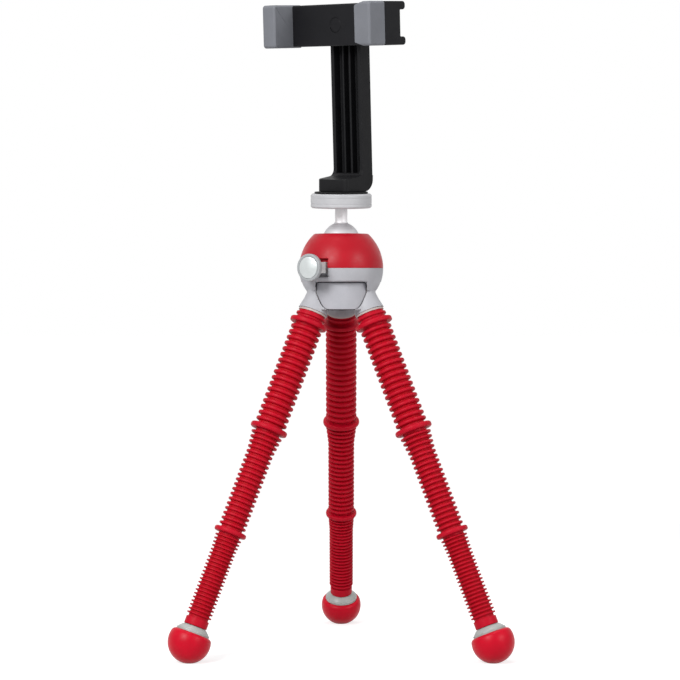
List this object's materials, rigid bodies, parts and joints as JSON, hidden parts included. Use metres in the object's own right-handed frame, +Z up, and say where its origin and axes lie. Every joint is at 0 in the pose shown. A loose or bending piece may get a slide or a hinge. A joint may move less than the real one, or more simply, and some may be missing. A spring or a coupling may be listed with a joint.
{
  "type": "flexible leg tripod",
  "caption": "Small table tripod with bendable ribbed rubber legs, a lockable ball head and a spring clamp that holds a phone.",
  "frame": {"origin": "on the floor, at the middle of the box round the three feet", "axes": "+Z up, -Y towards the viewer of the picture, +X to that viewer's right"},
  "size_m": [0.1632, 0.144, 0.3157],
  "materials": {
    "red_gloss_plastic": "satin moulded",
    "grey_plastic": "fine matt",
    "light_grey_plastic": "fine matt",
    "dark_plastic": "matt",
    "white_plastic": "smooth",
    "black_plastic": "fine matt",
    "black_rubber": "matt",
    "grey_rubber": "soft matt",
    "red_rubber": "soft matt",
    "red_foot_rubber": "soft satin",
    "cap_grey": "satin",
    "chrome": "polished",
    "knob_metal": "die cast, grey coat",
    "bright_metal": "satin",
    "zinc_steel": "plated",
    "brass": "turned"
  },
  "bodies": {
    "hub": {"upper_dome": "red_gloss_plastic", "lower_housing": "grey_plastic", "side_panels": "grey_plastic", "base_cover": "dark_plastic", "housing_screws": "zinc_steel", "cover_screw": "zinc_steel", "friction_ring": "white_plastic", "seat_cushion": "black_rubber", "knob_bush": "light_grey_plastic", "leg_rear_socket": "white_plastic", "leg_left_socket": "white_plastic", "leg_right_socket": "white_plastic"},
    "ball_cup": {"ball_seat": "white_plastic"},
    "head": {"ball_stud": "chrome", "platform": "light_grey_plastic", "platform_pad": "black_rubber", "camera_stud": "zinc_steel"},
    "phone_mount": {"phone_arm": "black_plastic", "arm_insert": "brass", "pivot_nut": "zinc_steel", "pivot_screw": "zinc_steel"},
    "clamp": {"clamp_body": "black_plastic", "clamp_cover": "black_plastic", "pivot_cap": "black_plastic", "fixed_jaw_pad": "grey_rubber", "jaw_springs": "zinc_steel"},
    "moving_jaw": {"jaw_slider": "black_plastic", "moving_jaw_pad": "grey_rubber"},
    "knob": {"lock_knob": "knob_metal", "knob_cap": "bright_metal", "lock_screw": "zinc_steel"},
    "plunger": {"lock_plunger": "white_plastic"},
    "leg_rear_1": {"leg_rear_link_1": "dark_plastic", "leg_rear_sleeve": "red_rubber"},
    "leg_rear_2": {"leg_rear_link_2": "dark_plastic"},
    "leg_rear_3": {"leg_rear_link_3": "dark_plastic"},
    "leg_rear_4": {"leg_rear_link_4": "dark_plastic"},
    "leg_rear_5": {"leg_rear_link_5": "dark_plastic"},
    "leg_rear_6": {"leg_rear_link_6": "dark_plastic", "leg_rear_foot_cap": "cap_grey", "leg_rear_foot": "red_foot_rubber"},
    "leg_left_1": {"leg_left_link_1": "dark_plastic", "leg_left_sleeve": "red_rubber"},
    "leg_left_2": {"leg_left_link_2": "dark_plastic"},
    "leg_left_3": {"leg_left_link_3": "dark_plastic"},
    "leg_left_4": {"leg_left_link_4": "dark_plastic"},
    "leg_left_5": {"leg_left_link_5": "dark_plastic"},
    "leg_left_6": {"leg_left_link_6": "dark_plastic", "leg_left_foot_cap": "cap_grey", "leg_left_foot": "red_foot_rubber"},
    "leg_right_1": {"leg_right_link_1": "dark_plastic", "leg_right_sleeve": "red_rubber"},
    "leg_right_2": {"leg_right_link_2": "dark_plastic"},
    "leg_right_3": {"leg_right_link_3": "dark_plastic"},
    "leg_right_4": {"leg_right_link_4": "dark_plastic"},
    "leg_right_5": {"leg_right_link_5": "dark_plastic"},
    "leg_right_6": {"leg_right_link_6": "dark_plastic", "leg_right_foot_cap": "cap_grey", "leg_right_foot": "red_foot_rubber"}
  },
  "joints": [
    {"name": "head_pan", "type": "hinge", "parent": "hub", "child": "ball_cup", "pos_m": [0, -0.0206, 0.19876], "axis": [0, 0, 1], "continuous": true},
    {"name": "head_tilt", "type": "hinge", "parent": "ball_cup", "child": "head", "pos_m": [0, -0.0206, 0.19876], "axis": [1, 0, 0], "range_deg": [-44, 36]},
    {"name": "mount_swivel", "type": "hinge", "parent": "head", "child": "phone_mount", "pos_m": [0, -0.02221, 0.22181], "axis": [0, -0.0698, 0.9976], "continuous": true},
    {"name": "clamp_rotate", "type": "hinge", "parent": "phone_mount", "child": "clamp", "pos_m": [0.00398, -0.02367, 0.30385], "axis": [-0.6815, -0.7265, -0.0875], "range_deg": [-40, 95]},
    {"name": "jaw_slide", "type": "slide", "parent": "clamp", "child": "moving_jaw", "axis": [-0.7314, 0.6803, 0.0476], "range_m": [0, 0.033], "stiffness_N_per_m": 150, "springref_m": -0.03, "deforming": ["jaw_springs"]},
    {"name": "knob_turn", "type": "hinge", "parent": "hub", "child": "knob", "pos_m": [-0.01583, -0.04406, 0.18566], "axis": [-0.5592, -0.829, 0], "range_deg": [0, 540]},
    {"name": "plunger_slide", "type": "slide", "parent": "hub", "child": "plunger", "axis": [-0.5592, -0.829, 0], "range_m": [0, 0.0011]},
    {"name": "leg_rear_bend_1", "type": "hinge", "parent": "hub", "child": "leg_rear_1", "pos_m": [0, -0.00221, 0.15835], "axis": [1, 0, 0], "range_deg": [-30, 30], "deforming": ["leg_rear_sleeve"]},
    {"name": "leg_rear_bend_2", "type": "hinge", "parent": "leg_rear_1", "child": "leg_rear_2", "pos_m": [0, 0.0086, 0.13328], "axis": [0, 0.9184, 0.3955], "range_deg": [-30, 30]},
    {"name": "leg_rear_bend_3", "type": "hinge", "parent": "leg_rear_2", "child": "leg_rear_3", "pos_m": [0, 0.0194, 0.1082], "axis": [-1, 0, 0], "range_deg": [-30, 30]},
    {"name": "leg_rear_bend_4", "type": "hinge", "parent": "leg_rear_3", "child": "leg_rear_4", "pos_m": [0, 0.02978, 0.08409], "axis": [0, -0.9184, -0.3955], "range_deg": [-30, 30]},
    {"name": "leg_rear_bend_5", "type": "hinge", "parent": "leg_rear_4", "child": "leg_rear_5", "pos_m": [0, 0.04016, 0.05998], "axis": [1, 0, 0], "range_deg": [-30, 30]},
    {"name": "leg_rear_bend_6", "type": "hinge", "parent": "leg_rear_5", "child": "leg_rear_6", "pos_m": [0, 0.04959, 0.03808], "axis": [0, 0.9184, 0.3955], "range_deg": [-30, 30]},
    {"name": "leg_left_bend_1", "type": "hinge", "parent": "hub", "child": "leg_left_1", "pos_m": [-0.01593, -0.02979, 0.15835], "axis": [-0.5, 0.866, 0], "range_deg": [-30, 30], "deforming": ["leg_left_sleeve"]},
    {"name": "leg_left_bend_2", "type": "hinge", "parent": "leg_left_1", "child": "leg_left_2", "pos_m": [-0.02528, -0.03519, 0.13328], "axis": [-0.7954, -0.4592, 0.3955], "range_deg": [-30, 30]},
    {"name": "leg_left_bend_3", "type": "hinge", "parent": "leg_left_2", "child": "leg_left_3", "pos_m": [-0.03464, -0.0406, 0.1082], "axis": [0.5, -0.866, 0], "range_deg": [-30, 30]},
    {"name": "leg_left_bend_4", "type": "hinge", "parent": "leg_left_3", "child": "leg_left_4", "pos_m": [-0.04363, -0.04579, 0.08409], "axis": [0.7954, 0.4592, -0.3955], "range_deg": [-30, 30]},
    {"name": "leg_left_bend_5", "type": "hinge", "parent": "leg_left_4", "child": "leg_left_5", "pos_m": [-0.05262, -0.05098, 0.05998], "axis": [-0.5, 0.866, 0], "range_deg": [-30, 30]},
    {"name": "leg_left_bend_6", "type": "hinge", "parent": "leg_left_5", "child": "leg_left_6", "pos_m": [-0.06079, -0.05569, 0.03808], "axis": [-0.7954, -0.4592, 0.3955], "range_deg": [-30, 30]},
    {"name": "leg_right_bend_1", "type": "hinge", "parent": "hub", "child": "leg_right_1", "pos_m": [0.01593, -0.02979, 0.15835], "axis": [-0.5, -0.866, 0], "range_deg": [-30, 30], "deforming": ["leg_right_sleeve"]},
    {"name": "leg_right_bend_2", "type": "hinge", "parent": "leg_right_1", "child": "leg_right_2", "pos_m": [0.02528, -0.03519, 0.13328], "axis": [0.7954, -0.4592, 0.3955], "range_deg": [-30, 30]},
    {"name": "leg_right_bend_3", "type": "hinge", "parent": "leg_right_2", "child": "leg_right_3", "pos_m": [0.03464, -0.0406, 0.1082], "axis": [0.5, 0.866, 0], "range_deg": [-30, 30]},
    {"name": "leg_right_bend_4", "type": "hinge", "parent": "leg_right_3", "child": "leg_right_4", "pos_m": [0.04363, -0.04579, 0.08409], "axis": [-0.7954, 0.4592, -0.3955], "range_deg": [-30, 30]},
    {"name": "leg_right_bend_5", "type": "hinge", "parent": "leg_right_4", "child": "leg_right_5", "pos_m": [0.05262, -0.05098, 0.05998], "axis": [-0.5, -0.866, 0], "range_deg": [-30, 30]},
    {"name": "leg_right_bend_6", "type": "hinge", "parent": "leg_right_5", "child": "leg_right_6", "pos_m": [0.06079, -0.05569, 0.03808], "axis": [0.7954, -0.4592, 0.3955], "range_deg": [-30, 30]}
  ],
  "couplings": [
    {"joint": "plunger_slide", "follows": "knob_turn", "m_per_rad": 0.00011141}
  ]
}
